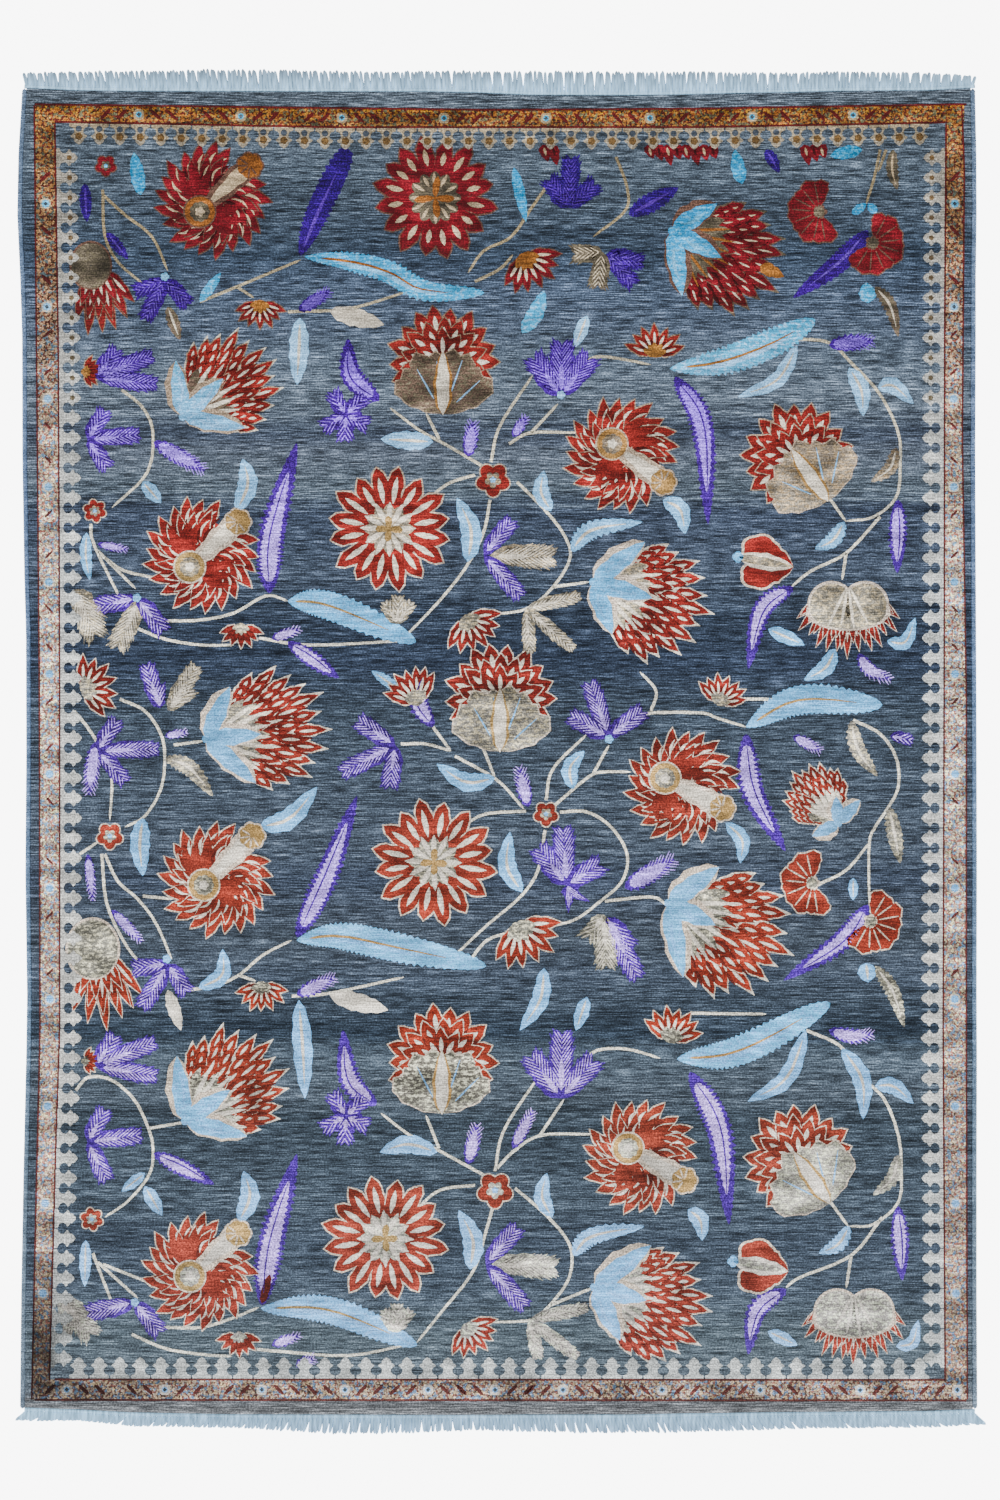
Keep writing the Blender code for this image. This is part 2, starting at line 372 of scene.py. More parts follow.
def disc(group, centre, radius, level, lobes=0, depth=0.0, flat=1.0, turn=0.0):
    """A round patch, wide by its flat share and turned, whose rim waves in and out in lobes.

    The rim's reach goes as 1 - depth (1 - |cos(lobes a / 2)|) round the angle a.
    """
    a = np.linspace(0.0, 2 * np.pi, 8 * max(lobes, 4) + 1)
    reach = radius * (1 - depth * (1 - np.abs(np.cos(lobes * a / 2))))
    x, y = reach * np.cos(a) * flat, reach * np.sin(a)
    c, s = np.cos(np.radians(turn)), np.sin(np.radians(turn))
    rim = np.stack([c * x - s * y, s * x + c * y], axis=1)
    grid = np.array(centre, float) + rim[:, None] * np.array(DISC_CROSS)[:, None]
    raise_patch(group, grid, level, DISC_RISE)


def towards(centre, angle, reach):
    """The place at this angle and reach from the centre."""
    a = np.radians(angle)
    return (centre[0] + reach * np.cos(a), centre[1] + reach * np.sin(a))


# Vines
# One and a half to two knots of ivory silk wide. They grow from small lobed rosettes of red and
# grey silk, and carry the leaves and flowers.
VINE_WIDTH = 3.3
VINES = """
103,190 105,235 118,262 143,284
103,195 125,215 152,237 168,271
200,302 237,287 301,260
237,287 254,298
288,312 348,309 404,293
550,182 533,206 511,237 484,251 468,273
475,282 500,269 513,255
616,157 627,188 625,211 593,237
122,390 143,408 153,433 147,473 112,508
91,524 94,544 120,598
98,551 136,589
105,558 125,571 161,579
165,621 201,620 234,613 266,596 288,601
134,627 165,639 201,645 234,645
259,638 312,645 416,640
482,466 448,446 419,430 390,408
439,439 426,413
491,462 500,426 533,375
509,444 531,433 578,433
531,433 558,404
475,475 448,484 422,504
490,500 484,531 468,564 442,598 406,636
517,482 544,509 564,535 570,558 553,587 526,609 486,615
553,587 589,582
582,366 596,357 620,359 651,365
797,339 829,343 851,363 880,395 898,433 900,464 896,497 873,517 846,521
827,495 846,522
880,517 846,553 811,571 791,587
846,553 842,580
880,150 874,178 866,204
886,150 878,172
74,711 89,729 105,756 112,780 110,821
120,699 145,711 161,734 165,758 161,789 145,816 125,827
174,745 204,741
80,854 98,842
102,854 107,903 125,943 143,966
105,854 118,881 138,899 156,923 172,959
143,896 174,899
185,990 214,986 239,975 263,955 292,940
239,975 256,981
292,996 330,993 404,977
401,744 426,744 451,751
433,727 451,751
455,756 497,780 524,809
482,745 495,778
546,800 553,769 587,734
555,805 587,778 602,772 631,772
593,774 609,745
526,811 486,814 464,825
560,812 587,812 611,827 627,854 622,881 598,903 576,919 553,926
605,901 651,897 667,905
545,830 538,870 520,897 486,926 451,959
468,963 486,941 509,932
636,720 651,713 701,713 717,718 746,727
651,711 656,691 640,672
744,699 775,700 802,707
853,720 880,734 896,758 898,787 887,809 875,827 869,845 869,905
817,885 846,870 869,843
690,1013 766,1014
76,1090 89,1077 112,1080 134,1099 147,1124 153,1146 150,1173 129,1200 105,1217
150,1128 185,1122
93,1253 112,1302
98,1262 138,1298
103,1264 154,1284
163,1327 201,1327 232,1318 259,1307
132,1334 165,1348 201,1354 232,1356
257,1349 279,1351 350,1355 417,1342
484,1175 444,1153 410,1135 381,1113
439,1148 426,1115
495,1171 504,1130 538,1077
497,1168 515,1150 542,1135 596,1134
540,1135 564,1099
475,1185 440,1190 415,1210
493,1206 486,1231 473,1271 442,1311 417,1342
515,1188 542,1211 564,1235 572,1255 567,1282 544,1311 529,1320 491,1322
550,1305 594,1287
582,1061 598,1050 627,1049 660,1058
806,1030 840,1046 860,1075 884,1099 898,1135 901,1168 898,1202 873,1224 849,1226
829,1200 848,1226
882,1217 851,1255 800,1277 786,1287
851,1255 846,1288
"""
# Centre of each rosette, radius, lobes
ROSETTES = (
    (106, 166, 11, 5),
    (95, 511, 12, 6),
    (493, 480, 18, 5),
    (546, 814, 13, 5),
    (110, 836, 14, 5),
    (495, 1190, 19, 5),
    (92, 1219, 12, 6),
)


def places_of(text):
    """Chart places written as column,row column,row."""
    return np.array([place.split(",") for place in text.split()], float)


def length_of(places):
    """The length of the straight lines from place to place."""
    return np.hypot(*np.diff(places, axis=0).T).sum()


for line in VINES.split("\n")[1:-1]:
    places = places_of(line)
    blade("vine", places, VINE_WIDTH, 0, (0.0, 0.08), rows=int(length_of(places) / 5) + 4)
for x, y, radius, lobes in ROSETTES:
    disc("outline", (x, y), radius + 1.2, 1, lobes, 0.26, turn=18)
    disc("red", (x, y), radius, 3, lobes, 0.3, turn=18)
    disc("grey", (x, y), radius * 0.5, 4, lobes, 0.35, turn=18)
    disc("mist", (x, y), radius * 0.2, 5, lobes, 0.35, turn=54)

# Leaves
# Long saz leaves in silk with saw-toothed rims, knotted in the same pile. The blue ones have a
# tan midrib, the violet ones a lavender middle. Small leaves are plain, the grey ones feathered.
# Each line gives a leaf's places, from its foot to its tip, and its width.
LONG_LEAF = 105
VIOLET_LEAVES = """
300,256 318,212 348,149 24
868,231 840,262 793,298 20
629,215 678,188 19
107,233 128,259 11
85,184 87,222 12
299,311 330,291 14
379,401 352,376 348,339 22
675,377 702,426 708,524 23
829,345 873,341 17
154,442 205,471 17
98,544 128,550 9
468,457 473,422 15
513,437 526,417 11
269,593 272,535 297,443 27
272,639 300,629 11
288,642 339,678 17
793,587 762,610 748,669 20
898,500 897,573 18
858,654 870,670 891,680 14
766,150 772,160 779,173 12
165,736 187,732 9
88,854 93,901 10
96,742 89,795 16
112,910 142,942 11
297,937 325,880 357,796 24
297,995 335,977 15
528,807 519,767 15
625,888 674,859 20
746,734 752,790 785,851 24
793,736 821,751 12
868,905 842,940 784,980 21
433,727 418,700 425,670 20
690,1072 719,1130 729,1224 26
376,1105 350,1080 343,1030 22
154,1153 214,1184 17
262,1305 272,1240 297,1154 27
468,1164 477,1124 15
513,1148 533,1110 13
786,1289 757,1310 748,1354 20
898,1206 902,1280 18
829,1030 851,1036 873,1034 15
272,1345 300,1335 11
296,1366 314,1358 12
"""
PALE_LEAVES = """
305,257 345,261 386,271 426,291 484,293 22
134,153 141,195 13
221,273 200,302 9
300,318 299,352 297,385 18
526,222 520,195 514,168 10
544,291 536,313 522,333 15
587,316 575,347 12
866,283 868,303 15
670,369 720,362 770,344 815,320 29
797,346 777,380 738,397 14
849,368 861,390 863,416 16
878,388 893,386 913,404 15
143,482 161,503 13
237,511 248,484 243,459 18
87,533 86,556 90,580 11
433,442 381,439 17
551,511 541,492 544,471 15
468,562 471,530 457,498 19
288,601 330,606 416,642 27
663,500 680,510 685,534 17
768,629 804,645 13
887,641 905,642 915,618 13
835,649 825,668 804,680 15
735,150 738,168 742,184 13
830,156 845,153 862,150 12
866,204 852,214 8
868,204 876,213 8
260,827 290,818 317,787 19
143,818 140,845 143,876 18
199,988 222,975 223,949 15
297,940 340,936 400,948 486,966 28
299,1000 303,1050 305,1098 18
495,778 466,782 437,764 17
573,789 570,768 584,751 15
522,892 507,866 510,832 17
544,968 540,1000 520,1030 16
587,997 576,1030 13
746,727 800,700 882,705 28
726,823 742,840 740,863 14
866,963 868,982 17
853,878 853,900 9
677,1059 740,1050 830,1003 28
806,1030 786,1078 748,1101 16
842,1048 862,1080 863,1119 17
875,1086 893,1086 913,1103 15
239,1222 250,1196 244,1171 18
145,1173 122,1191 10
145,1186 162,1215 13
86,1240 85,1286 11
261,1308 330,1310 417,1345 26
437,1152 408,1144 380,1152 17
552,1217 542,1196 547,1173 15
470,1269 473,1240 459,1210 19
688,1209 700,1220 702,1240 16
768,1331 797,1345 12
896,1346 912,1342 918,1320 12
"""
GREY_LEAVES = """
168,307 180,340 13
875,287 890,306 898,337 14
896,448 890,468 871,482 14
893,150 892,170 897,190 12
166,758 190,768 213,796 17
851,721 858,750 877,776 16
889,807 900,863 16
875,966 892,990 904,1027 15
898,1155 892,1178 873,1195 14
"""
MIST_LEAVES = """
571,551 592,530 642,522 18
844,522 833,540 815,549 15
400,690 372,671 11
849,1226 838,1244 819,1253 15
573,1255 592,1236 644,1226 18
"""
IVORY_LEAVES = """
330,311 384,325 17
168,990 181,1030 12
330,995 388,1010 17
"""


def charted(text):
    """Each line's places, and the width that it ends with."""
    for line in text.split("\n")[1:-1]:
        words, width = line.rsplit(" ", 1)
        yield places_of(words), float(width)


def feather(group, places, width, level, count, lean=36, thin=2.0, span=(0.14, 0.96)):
    """Barbs that lean forward from both sides of the curve through the places.

    At the share t of the curve a barb ends at width / 2 (4 t (1 - t))^0.4 beside it.
    """
    line = smooth(places, 41)
    for n, t in enumerate(np.linspace(*span, count)):
        foot = line[int(39 * t)]
        way = np.degrees(np.arctan2(*(line[int(39 * t) + 1] - foot)[::-1]))
        reach = 0.5 * width * (4 * t * (1 - t)) ** 0.4 / np.sin(np.radians(lean))
        for side in (-1, 1):
            tip = towards(foot, way + side * lean, reach * (1 + 0.1 * np.sin(2.7 * n + side)))
            blade(group, [foot, tip], thin, level + 0.03 * (n % 3), (0.4, 0.5), rows=4)


def violet_leaf(places, width):
    """A violet leaf: teeth, a lavender middle, and a midrib if it is long or barbs if not."""
    long = length_of(places)
    dark = places[0, 1] < DARK_ROWS
    inner = smooth(places, 21)[2:18:3]
    blade("lavender", inner, width * (0.24 if dark else 0.86), 3, (0.45, 0.7), int(long / 8) + 2)
    if long < 60 and places[0, 1] > DARK_ROWS:
        feather("lavender", places, width, 3.4, int(long / 6) + 2, thin=1.3)
    if long > 60:
        blade("violet", inner, 1.8, 4, (0.3, 0.3), rows=11, bend=2.0)


def leaf(group, places, width):
    """A leaf with its rim, teeth and midrib, each in proportion to its length and width."""
    long, row = length_of(places), places[0, 1]
    teeth = int(long / 6) if group in ("violet", "grey", "mist") or long > LONG_LEAF else 0
    bite = 0.24 if group != "pale" and row > 260 else 0.14 if row < 400 else 0.07
    group = "mist" if group == "pale" and long < LONG_LEAF and row > DARK_ROWS else group
    full = (0.7, 0.55) if group == "pale" else (0.6, 0.3 if places[-1, 1] < 160 else 0.75)
    blade(group, places, width * 1.15, 2, full, teeth, bite, rows=13 if long > 40 else 9)
    if group == "violet":
        violet_leaf(places, width)
    if group in ("mist", "grey"):
        blade("ivory", smooth(places, 21)[2:18:3], width * 0.2, 3, (0.5, 0.8))
    if group == "pale" and long > LONG_LEAF:
        blade("gold", smooth(places, 21)[2:18:3], 3.0, 3, (0.1, 0.4), rows=19)
        blade("mist", smooth(places, 21)[4:17:3] + (0.0, 3.4), 6.0, 2.5, (0.3, 0.5), rows=12)


for group, leaves in (
    ("violet", VIOLET_LEAVES),
    ("pale", PALE_LEAVES),
    ("grey", GREY_LEAVES),
    ("mist", MIST_LEAVES),
    ("ivory", IVORY_LEAVES),
):
    for places, width in charted(leaves):
        leaf(group, places, width)
# Flowers
# Blossoms in silk, knotted in the same pile as the ground: red petals with ivory slivers and a
# pale outline one knot wide, about grey, tan or ivory hearts, and small feathered violet ones.
OUTLINE = 1.9
FLAME = (0.5, 0.85)


def fan(group, centre, middle, spread, count, inner, outer, width, level, **shape):
    """Petals about a centre, evenly over the spread; outer may shrink to the sides by its sag.

    The reach is outer (1 - sag (angle / half spread)^2). Each petal differs a little in reach,
    direction and bend.
    """
    sag, twist, bend = (shape.pop(key, 0.0) for key in ("sag", "twist", "bend"))
    for n, share in enumerate((np.arange(count) + 0.5) / count * 2 - 1):
        own = np.sin(np.array([2.4, 1.3, 3.7]) * n + centre[0])
        angle = middle + share * spread / 2 + 0.09 * spread / count * own[1]
        fall = 1 - sag * share**2
        reach = outer * fall * (1 + 0.045 * own[0])
        ends = [towards(centre, angle - twist, inner * fall), towards(centre, angle, reach)]
        own_level = level + 0.07 * (n % 4)
        blade(group, ends, width, own_level, bend=bend + 0.05 * width * own[2], **shape)


def petals(centre, middle, spread, count, inner, outer, width, level, sliver=0.28, **shape):
    """Outlined red flames, maroon where they part, each with an ivory sliver down its middle."""
    wide = (inner - 1, outer + 1.8, width + OUTLINE, level - 0.5)
    fan("outline", centre, middle, spread, count, *wide, full=FLAME, **shape)
    fan("red", centre, middle, spread, count, inner, outer, width, level, full=FLAME, **shape)
    half_step = spread / count / 2
    fan("maroon", centre, middle + half_step, spread, count, inner, 0.45 * inner + 0.55 * outer,
        width * 0.3, level + 0.2, full=(0.4, 0.7), rows=6, **shape)
    if sliver:
        reach = outer - inner
        fan("ivory", centre, middle, spread, count, inner + 0.2 * reach, outer - 0.3 * reach,
            width * sliver, level + 0.3, full=(0.7, 0.7), rows=6, **shape)


# Large blossoms with an off-centre heart: centre, heart, tail's cap
PEONIES = (
    (213, 200, 200, 212, 250, 166),
    (202, 555, 190, 567, 238, 522),
    (622, 455, 612, 444, 663, 482),
    (683, 787, 665, 778, 722, 808),
    (217, 879, 204, 885, 252, 836),
    (200, 1271, 190, 1276, 238, 1233),
    (641, 1157, 628, 1148, 684, 1180),
)


def peony(x, y, heart_x, heart_y, cap_x, cap_y):
    """Swirling petals about a heart, with a gap for the ivory tail and its tan cap."""
    centre, heart, cap = (x, y), (heart_x, heart_y), (cap_x, cap_y)
    away = np.degrees(np.arctan2(cap_y - heart_y, cap_x - heart_x))
    middle = away + 180
    disc("red", centre, 36, 1.4)
    petals(centre, middle, 322, 19, 22, 57, 16, 3, bend=3.0, twist=12, sag=0.02, sliver=0.22)
    petals(centre, middle, 318, 14, 12, 44, 13, 4, bend=3.0, twist=16, sliver=0.2)
    blade("outline", [heart, cap], 25, 5, (0.5, 0.15))
    blade("ivory", [towards(heart, away, 10), cap], 17, 5.5, (0.7, 0.15))
    for sign in (-1, 1):
        fan("red", heart, away + sign * 50, 56, 3, 12, 46, 11, 6, full=FLAME, bend=-5.0 * sign)
    disc("outline", cap, 15.0, 5.2, 7, 0.12)
    disc("gold", cap, 13.6, 6, 7, 0.1)
    fan("outline", cap, away + 180, 200, 5, 2, 12, 2.2, 6.4, full=(0.3, 0.3), rows=5)
    disc("outline", heart, 17.6, 7)
    disc("gold", heart, 16.0, 7.5)
    disc("grey", heart, 11.0, 8, 9, 0.1)
    disc("ivory", heart, 5.5, 8.5, 5, 0.3)


for one in PEONIES:
    peony(*one)

# Round blossoms of sixteen petals: centre, radius
ROUNDS = (
    (435, 198, 60),
    (389, 529, 61),
    (434, 862, 61),
    (385, 1238, 61),
)


def round_blossom(x, y, radius):
    """Sixteen petals with ivory lenses about a star with a crossed heart."""
    centre = (x, y)
    disc("red", centre, radius * 0.58, 2)
    fan("outline", centre, 0, 360, 16, 14, radius + 1.8, 21, 1.5, full=(1.1, 0.75))
    fan("red", centre, 0, 360, 16, 14, radius, 18.5, 3, full=(1.1, 0.75))
    dark = y < DARK_ROWS
    low, high = (0.54, 0.8) if dark else (0.42, 0.84)
    fan("ivory", centre, 0, 360, 16, radius * low, radius * high, 6.2, 4, full=(0.8, 0.8))
    disc("grey", centre, radius * (0.46 if dark else 0.43), 5, 12, 0.2)
    low, high, width = (0.2, 0.42, 4) if dark else (0.08, 0.46, 6)
    fan("ivory", centre, 15, 360, 12, radius * low, radius * high, width, 6, full=(0.8, 0.7))
    fan("gold", centre, 45, 360, 4, 0, radius * (0.34 if dark else 0.22), 8, 7, full=(0.7, 0.5))


for one in ROUNDS:
    round_blossom(*one)

# Upright blossoms with a bowl: centre, radius, the crown's direction
BOWLS = (
    (443, 363, 56, -90),
    (500, 700, 56, -90),
    (442, 1062, 56, -90),
    (798, 459, 56, -125),
    (800, 1161, 56, -125),
)
# Leaning blossoms with sepals: centre, radius, width of the sepals, base and the sepals' tips
SEPALS = (
    (727, 257, 57, 19, "672,231 717,204 721,258 682,296"),
    (232, 381, 46, 17, "183,417 176,361 223,379 245,428"),
    (278, 728, 50, 18, "206,739 230,687 261,734 256,783"),
    (655, 603, 54, 19, "593,582 645,542 652,598 612,634"),
    (733, 935, 57, 20, "668,903 719,867 715,925 683,977"),
    (236, 1080, 50, 18, "185,1121 177,1056 230,1090 247,1136"),
    (656, 1305, 54, 20, "594,1287 651,1245 646,1300 620,1340"),
    (820, 800, 38, 13, "838,823 812,836 836,797 860,800"),
)


def bowl_blossom(centre, radius, axis):
    """Three tiers of petals over a fluted grey bowl with an ivory midrib."""
    base = towards(centre, axis + 180, radius * 0.93)
    tip = towards(base, axis, radius * 1.15)
    disc("red", towards(centre, axis, radius * 0.12), radius * 0.6, 1.5)
    petals(centre, axis, 240, 12, radius * 0.42, radius, radius * 0.36, 3, sag=0.06)
    petals(centre, axis, 220, 9, radius * 0.24, radius * 0.8, radius * 0.34, 4, sag=0.1)
    petals(centre, axis, 150, 5, radius * 0.05, radius * 0.6, radius * 0.32, 4.6, sag=0.1)
    rim, flutes = {"full": (0.8, 0.4), "sag": 0.16}, {"full": (0.8, 0.35), "sag": 0.16}
    fan("outline", base, axis, 124, 8, 2, radius * 1.2, radius * 0.48, 5.2, **rim)
    fan("grey", base, axis, 124, 8, 2, radius * 1.17, radius * 0.46, 5.8, **flutes)
    fan("mist", base, axis + 8, 100, 4, 20, radius, 1.8, 6.3, full=(0.3, 0.6), sag=0.12)
    blade("gold", [base, tip], radius * 0.38, 6.5, (0.6, 0.8))
    blade("ivory", [base, tip], radius * 0.26, 7.0, (0.6, 0.8))


def sepal_blossom(centre, radius, base, sepal_width, sepals):
    """A fan of short flames in four tiers from the base, which blue sepals clasp."""
    reach = np.hypot(*(centre - base)) + 0.92 * radius
    way = np.degrees(np.arctan2(*(centre - base)[::-1]))
    dark = centre[1] < DARK_ROWS
    rim, heart = ("grey", "gold") if dark else ("ivory", "ivory")
    heart_width, sliver = (3.4, 0.15) if dark else (5.0, 0.28)
    disc("red", centre, radius * 0.62, 1.5)
    fan(rim, base, way, 100, 12, 0.55 * reach, 1.05 * reach, radius * 0.26, 2.2, full=FLAME, sag=0.38)
    for part, count, level in ((1.0, 12, 3), (0.86, 11, 3.5), (0.72, 10, 4), (0.58, 8, 4.5)):
        tier = ((part - 0.26) * reach, part * reach, radius * 0.25, level, sliver)
        petals(base, way, 98, count, *tier, sag=0.38)
    fan("grey", base, way, 84, 8, 8, reach * 0.52, radius * 0.26, 5.2, full=(0.9, 0.7), sag=0.1)
    fan(heart, base, way + 6, 76, 7, 12, reach * 0.56, heart_width, 5.8, full=(0.7, 0.6), sag=0.1)
    for n, tip in enumerate(sepals):
        blade("outline", [base, tip], sepal_width * 1.5, 6.2 + 0.1 * n, (0.5, 0.6), bend=2.0)
        blade("pale", [base, tip], sepal_width * 1.1, 6.7 + 0.1 * n, (0.5, 0.8))
        blade("mist", smooth([base, tip], 9)[2:7:2], 4.0, 7.2, (0.6, 0.6), bend=-3)
    disc("pale", base, 4.0, 7.4)


for x, y, radius, axis in BOWLS:
    bowl_blossom((x, y), radius, axis)
for x, y, radius, width, ends in SEPALS:
    base, *tips = places_of(ends)
    sepal_blossom(np.array([x, y], float), radius, base, width, tips)

# Hanging domes: top of the midrib, width, height
DOMES = (
    (848, 580, 88, 74),
    (854, 1287, 88, 74),
)


def dome(x, y, width, height):
    """A broad grey cap with two shoulders, over small red flames that hang from its rim."""
    for count, level, reach in ((13, 2, 1.0), (12, 3, 0.88), (11, 4, 0.76)):
        petals((x, y - 6), 90, 106, count, 30, reach * height * 1.08, 9.5, level, sag=0.18)
    for group, more, level in (("outline", 1.8, 4.8), ("grey", 0.0, 5.2)):
        disc(group, (x, y + 0.42 * height), 0.26 * height + more, level, flat=2.1)
        for side in (-0.19, 0.19):
            disc(group, (x + side * width, y + 0.34 * height), 0.31 * height + more, level + 0.2)
    fan("ivory", (x, y + 4), 90, 70, 4, 4, height * 0.6, 3.4, 6, full=(0.5, 0.5))


for one in DOMES:
    dome(*one)

# Domes beside the left border, of which one lobe shows: centre of the lobe, its height, reach
for x, y, high, reach in ((91, 266, 24, 72), (93, 949, 31, 82)):
    petals((x + 4, y - 4), 84, 62, 5, 20, reach, 13, 2, sag=0.22)
    petals((x + 8, y - 4), 76, 66, 5, 14, reach * 0.82, 12, 3, sag=0.1)
    petals((x + 4, y - 4), 84, 66, 4, 10, reach * 0.62, 12, 4, sag=0.1)
    disc("outline", (x, y), high + 1.6, 5.2, flat=0.86)
    disc("grey", (x, y), high, 5.8, flat=0.86)

# Pairs of side blossoms like kidneys: heart, radius, where they open
KIDNEYS = (
    (820, 212, 32, -10),
    (872, 243, 32, -150),
    (813, 883, 32, -10),
    (870, 921, 32, -150),
)


def kidney(x, y, radius, opening):
    """A scalloped half ring of red petals with pale lines, about a beige heart."""
    centre = (x, y)
    fan("outline", centre, opening + 180, 225, 9, 5, radius + 1.4, 19, 2, full=(0.7, 0.26))
    fan("red", centre, opening + 180, 225, 9, 6, radius, 17.5, 3, full=(0.7, 0.24))
    fan("outline", centre, opening + 180, 205, 8, 9, radius - 4, 1.8, 4, full=(0.2, 0.3))
    disc("outline", centre, 7.6, 5, 5, 0.3)
    disc("grey", towards(centre, opening + 180, 1), 5.6, 6)


for one in KIDNEYS:
    kidney(*one)

# Heart-shaped blossoms: tip, the two lobes, bud
for tip, lobes, bud in (
    ("793,567", "760,549 759,575", (738, 557)),
    ("788,1271", "757,1253 756,1279", (733, 1261)),
):
    tip = places_of(tip)[0]
    for n, lobe in enumerate(places_of(lobes)):
        for group, more, level in (("outline", 2.0, 2.0), ("red", 0.0, 3.0)):
            disc(group, lobe, 14 + more, level + 0.3 * n, 5, 0.1, flat=1.3)
            blade(group, [lobe, tip], 25 + 2 * more, level + 0.3 * n + 0.15, (0.2, 0.7))
    blade("ivory", [bud, tip], 19, 4.4, (0.7, 0.8))
    blade("grey", [bud, tip], 10, 5, (0.5, 0.9))
    disc("pale", bud, 6, 5, 4, 0.2)

# Small red blossoms: base, direction, spread, reach
SMALL_REDS = (
    (260, 303, 90, 170, 26),
    (524, 256, 60, 150, 36),
    (655, 355, -90, 170, 30),
    (84, 372, 0, 150, 17),
    (241, 626, 90, 170, 22),
    (466, 618, 55, 150, 34),
    (719, 703, -70, 150, 28),
    (84, 690, -20, 170, 34),
    (418, 703, -112, 120, 35),
    (262, 984, 90, 170, 27),
    (518, 925, 60, 150, 42),
    (670, 1040, -75, 150, 33),
    (84, 1061, 0, 150, 14),
    (239, 1334, 90, 170, 22),
    (466, 1326, 50, 150, 30),
)
for x, y, way, spread, reach in SMALL_REDS:
    petals((x, y), way, spread, 7, 4, reach, reach * 0.36, 3, sliver=0.28 if reach > 24 else 0)
    heart = "gold" if y < 500 else "grey"
    fan(heart, (x, y), way, spread, 5, -3, reach * 0.42, reach * 0.26, 5, full=(0.5, 0.6))

# Petals of blossoms that the far border cuts off, a leaf's maroon foot and a golden petal
CUT_PETALS = (545, 554, 650, 659, 668, 677, 686, 695, 704, 713, 806, 814, 822)
for n, x in enumerate(CUT_PETALS):
    blade("red", [(x - 2, 145), (x + 3, 162 + 4 * np.sin(2.0 * n))], 12, 3 + 0.1 * (n % 3), (0.3, 0.8))
    blade("maroon" if n % 2 else "ivory", [(x - 1, 148), (x + 1, 156)], 3, 4)
blade("maroon", [(262, 1303), (270, 1274)], 9, 3.6, (0.3, 0.4))
blade("gold", [(760, 266), (784, 277)], 14, 3.9, (0.4, 0.8))

# Small feathered blossoms: each line gives the base, the lobes' tips and their width
VIOLET_BLOSSOMS = """
569,208 551,182 571,160 593,186 20
165,280 138,291 146,318 186,303 17
606,255 632,283 640,262 18
561,396 535,360 562,345 588,360 24
346,415 334,395 362,400 364,424 345,437 326,426 17
88,440 104,413 138,435 106,466 17
96,378 116,352 152,356 156,384 18
484,555 511,522 520,596 18
137,598 98,606 162,629 19
160,708 147,666 158,690 17
98,751 116,722 158,749 124,780 17
395,745 360,722 343,772 390,785 19
609,737 590,684 572,717 641,712 19
567,885 540,850 563,830 597,866 572,895 22
606,918 637,977 628,945 20
168,964 136,968 143,1006 185,990 18
96,1066 114,1038 155,1042 156,1076 18
88,1142 104,1112 140,1135 106,1178 18
561,1098 532,1058 562,1034 592,1062 24
346,1116 334,1096 362,1101 364,1125 345,1140 326,1127 17
486,1264 516,1229 524,1306 19
135,1302 90,1312 158,1330 19
890,736 910,740 12
"""
GREY_BLOSSOMS = """
602,252 577,254 598,284 20
490,556 552,557 24
139,600 118,646 22
168,710 196,667 190,690 17
604,915 590,935 606,965 22
492,1264 554,1267 24
74,590 95,634 90,616 26
62,1296 90,1333 74,1326 24
526,609 580,596 574,650 530,652 13
529,1320 588,1307 578,1357 538,1357 13
398,624 386,604 398,598 410,604 13
397,1332 385,1312 397,1306 409,1312 13
"""
# Their round calyxes
CALYXES = "165,277 561,395 137,598 609,739 167,959 135,1302"


def feathered(group, light, base, tips, width):
    """Lobes from a base, each a blade with barbs of its own yarn, and lighter barbs over them."""
    dark = base[1] < DARK_ROWS
    for n, tip in enumerate(tips):
        lobe = [base, tip]
        count = max(int(np.hypot(*(tip - base)) / 5), 4)
        blade(group, lobe, width * 0.95, 3 + 0.1 * n, (0.55, 0.6), bend=1.5)
        feather(group, lobe, width * 1.06, 3.02 + 0.1 * n, count, 32, 4.2)
        feather(light, lobe, width * (0.66 if dark else 0.84), 4 + 0.1 * n, count, 32, 1.25)
        if not dark:
            blade(light, smooth(lobe, 9)[1:7:2], width * 0.26, 4.1 + 0.1 * n, (0.6, 0.7))


for group, light, blossoms in (
    ("violet", "lavender", VIOLET_BLOSSOMS),
    ("grey", "ivory", GREY_BLOSSOMS),
):
    for (base, *tips), width in charted(blossoms):
        feathered(group, light, base, tips, width)
for calyx in places_of(CALYXES):
    disc("mist", calyx, 4.6, 4.6, 5, 0.2)

# Borders
# A guard strip of silk between two red lines goes round the field, and a row of silk trefoils
# stands on its inner line. Both are knotted in the pile, and cover what runs under them.
# Each line gives its column by row at the sides, and its row by column at the ends.
LEFT_OUTER = ((105, 34.6), (350, 36.8), (680, 39.7), (1030, 40.4), (1200, 36.4), (1400, 32.0))
LEFT_INNER = ((105, 54.7), (350, 58.5), (680, 59.8), (1030, 59.8), (1150, 55.8), (1380, 49.6))
RIGHT_OUTER = ((105, 961.4), (165, 964), (440, 962), (700, 966), (1030, 966), (1400, 967))
RIGHT_INNER = ((105, 946), (330, 944.5), (680, 944), (1030, 943), (1380, 945))
FAR_OUTER = ((34, 104.7), (330, 108.5), (500, 110.3), (700, 109), (962, 104.7))
FAR_INNER = ((54, 122), (330, 127.5), (700, 127.5), (900, 123.7), (946, 122.5))
NEAR_INNER = ((49, 1379), (945, 1379.5))
NEAR_OUTER = ((32, 1399.5), (967, 1400))
